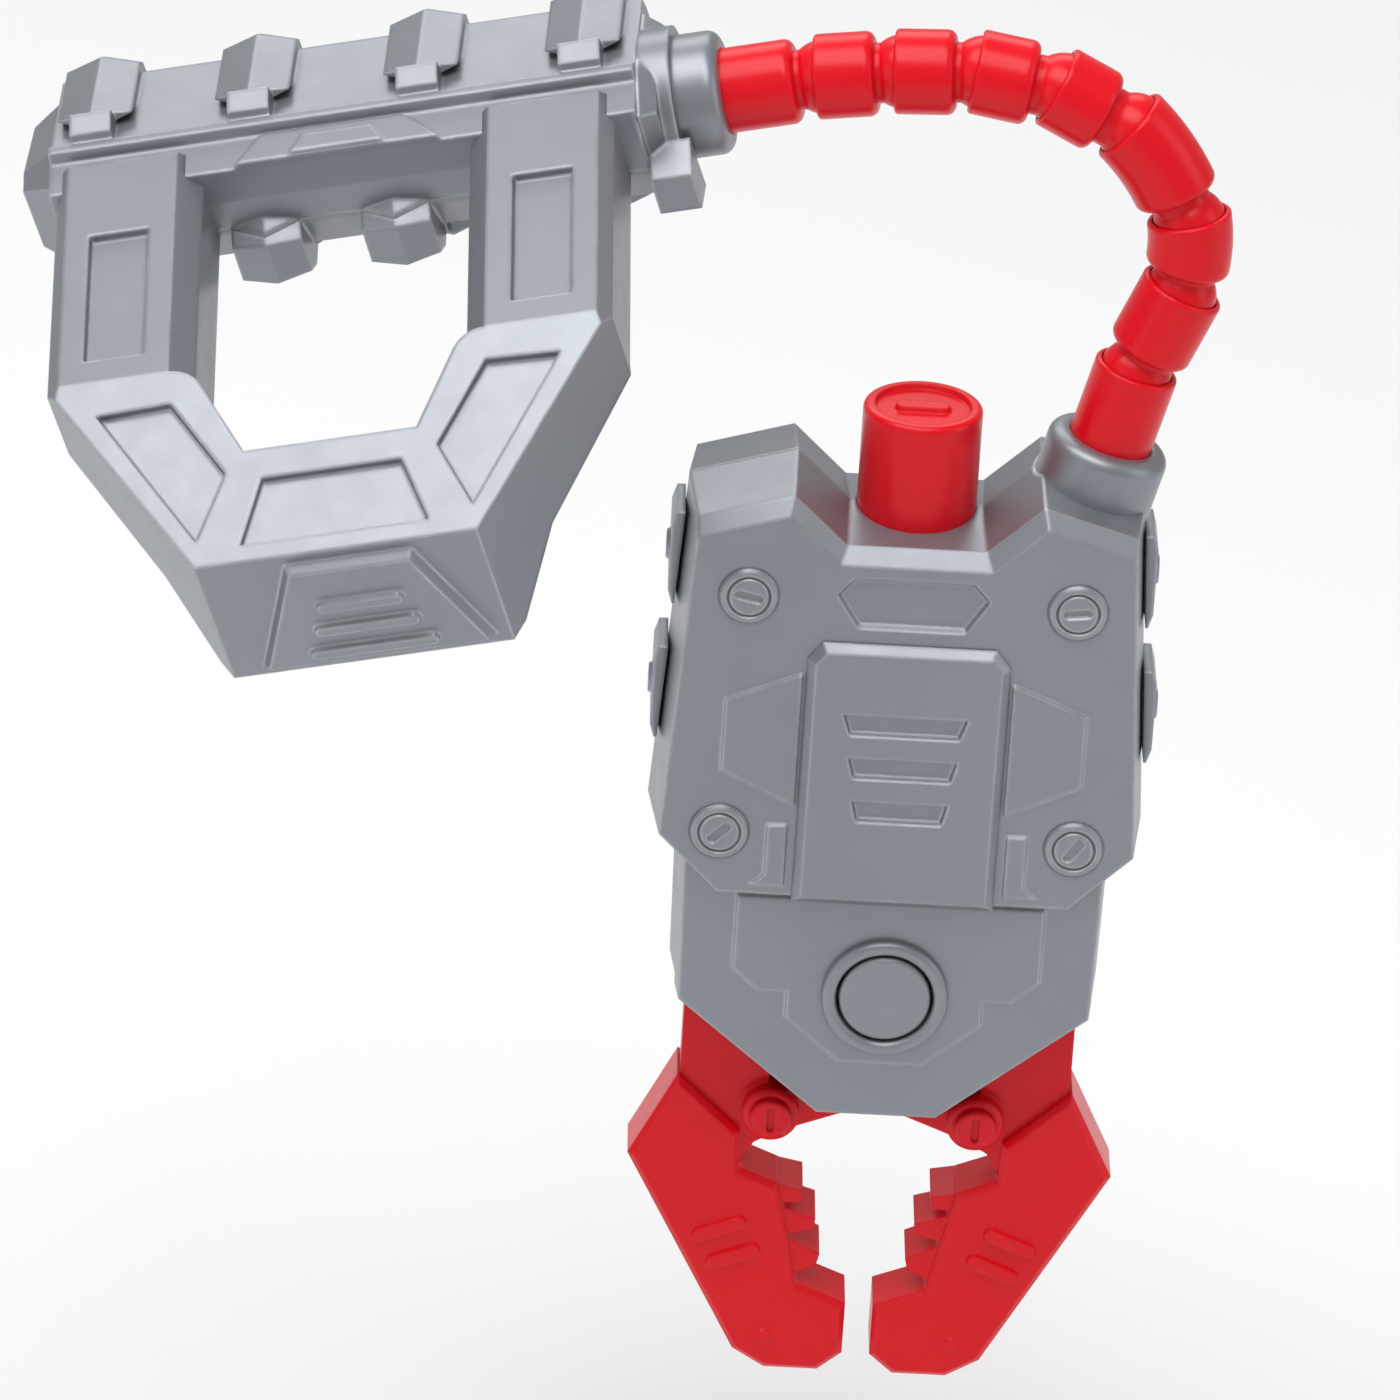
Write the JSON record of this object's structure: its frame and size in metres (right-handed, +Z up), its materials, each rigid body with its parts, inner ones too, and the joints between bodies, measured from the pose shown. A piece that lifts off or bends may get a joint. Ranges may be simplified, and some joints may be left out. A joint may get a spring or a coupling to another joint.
{
  "type": "hydraulic arm kit",
  "caption": "Hand-held toy robot arm: a stirrup handle on a ribbed rail, a bendable ball-jointed arm and an armoured claw whose jaws open when its plunger is pressed.",
  "frame": {"origin": "middle of the hand opening in the stirrup grip", "axes": "+Z up with the claw hanging upright, +Y from the claw's front to its back, +X from the handle towards the claw"},
  "size_m": [0.16, 0.0907, 0.1978],
  "materials": {
    "grey_plastic": "satin metallic silver-grey moulded plastic",
    "red_plastic": "glossy moulded red plastic",
    "steel": "zinc-plated steel"
  },
  "bodies": {
    "handle": {"rail_front_shell": "grey_plastic", "rail_rear_shell": "grey_plastic", "rail_end_cap": "grey_plastic", "rail_end_ring": "grey_plastic", "handle_arm_collar": "grey_plastic", "stirrup_grip": "grey_plastic"},
    "link_1": {"arm_link_1": "red_plastic"},
    "link_2": {"arm_link_2": "red_plastic"},
    "link_3": {"arm_link_3": "red_plastic"},
    "link_4": {"arm_link_4": "red_plastic"},
    "link_5": {"arm_link_5": "red_plastic"},
    "link_6": {"arm_link_6": "red_plastic"},
    "link_7": {"arm_link_7": "red_plastic"},
    "link_8": {"arm_link_8": "red_plastic"},
    "link_9": {"arm_link_9": "red_plastic"},
    "claw": {"claw_front_shell": "grey_plastic", "claw_rear_shell": "grey_plastic", "claw_back_screws": "steel", "chest_panel": "grey_plastic", "screw_caps": "grey_plastic", "side_bosses": "grey_plastic", "claw_arm_collar": "grey_plastic", "button_bezel": "grey_plastic", "button_well": "grey_plastic", "button_spring": "steel", "spring_seat": "grey_plastic", "plunger_spring": "steel", "jaw_pivot_pins": "red_plastic", "jaw_return_springs": "steel", "jaw_bracket": "red_plastic"},
    "plunger": {"plunger_cap": "red_plastic", "plunger_rod": "steel"},
    "button": {"button": "grey_plastic"},
    "left_jaw": {"left_jaw": "red_plastic"},
    "right_jaw": {"right_jaw": "red_plastic"}
  },
  "joints": [
    {"name": "handle_swivel", "type": "hinge", "parent": "handle", "child": "link_1", "pos_m": [0.048, 0.02236, 0.0251], "axis": [0.9658, -0.081, 0.2462], "range_deg": [-25, 90]},
    {"name": "bend_1", "type": "hinge", "parent": "link_1", "child": "link_2", "pos_m": [0.06075, 0.02129, 0.02835], "axis": [-0.0894, -0.9957, 0.0229], "range_deg": [-4, 15]},
    {"name": "bend_2", "type": "hinge", "parent": "link_2", "child": "link_3", "pos_m": [0.07107, 0.0204, 0.03004], "axis": [-0.0894, -0.9957, 0.0229], "range_deg": [-4, 15]},
    {"name": "bend_3", "type": "hinge", "parent": "link_3", "child": "link_4", "pos_m": [0.0815, 0.01949, 0.03082], "axis": [-0.0894, -0.9957, 0.0229], "range_deg": [-4, 15]},
    {"name": "bend_4", "type": "hinge", "parent": "link_4", "child": "link_5", "pos_m": [0.09196, 0.01852, 0.02939], "axis": [-0.0894, -0.9957, 0.0229], "range_deg": [-4, 15]},
    {"name": "bend_5", "type": "hinge", "parent": "link_5", "child": "link_6", "pos_m": [0.10164, 0.01754, 0.0247], "axis": [-0.0894, -0.9957, 0.0229], "range_deg": [-4, 15]},
    {"name": "bend_6", "type": "hinge", "parent": "link_6", "child": "link_7", "pos_m": [0.10992, 0.01651, 0.01226], "axis": [-0.0894, -0.9957, 0.0229], "range_deg": [-4, 15]},
    {"name": "bend_7", "type": "hinge", "parent": "link_7", "child": "link_8", "pos_m": [0.10926, 0.01633, 0.00199], "axis": [-0.0894, -0.9957, 0.0229], "range_deg": [-4, 15]},
    {"name": "bend_8", "type": "hinge", "parent": "link_8", "child": "link_9", "pos_m": [0.10423, 0.01651, -0.01], "axis": [-0.0894, -0.9957, 0.0229], "range_deg": [-4, 15]},
    {"name": "claw_swivel", "type": "hinge", "parent": "link_9", "child": "claw", "pos_m": [0.10179, 0.01651, -0.01949], "axis": [0.2487, 0, 0.9686], "range_deg": [-45, 45]},
    {"name": "plunger_press", "type": "slide", "parent": "claw", "child": "plunger", "axis": [0, 0, -1], "range_m": [0, 0.0054], "stiffness_N_per_m": 300, "springref_m": -0.004, "deforming": ["plunger_spring"]},
    {"name": "button_press", "type": "slide", "parent": "claw", "child": "button", "axis": [0, 1, 0], "range_m": [0, 0.0015], "stiffness_N_per_m": 400, "springref_m": -0.001},
    {"name": "right_jaw_open", "type": "hinge", "parent": "claw", "child": "right_jaw", "pos_m": [0.09059, 0.01651, -0.12129], "axis": [0, -1, 0], "range_deg": [0, 30.5]},
    {"name": "left_jaw_open", "type": "hinge", "parent": "claw", "child": "left_jaw", "pos_m": [0.06259, 0.01651, -0.12129], "axis": [0, 1, 0], "range_deg": [0, 30.5]}
  ],
  "couplings": [
    {"joint": "right_jaw_open", "follows": "plunger_press", "rad_per_m": 96.96},
    {"joint": "left_jaw_open", "follows": "plunger_press", "rad_per_m": 96.96}
  ]
}
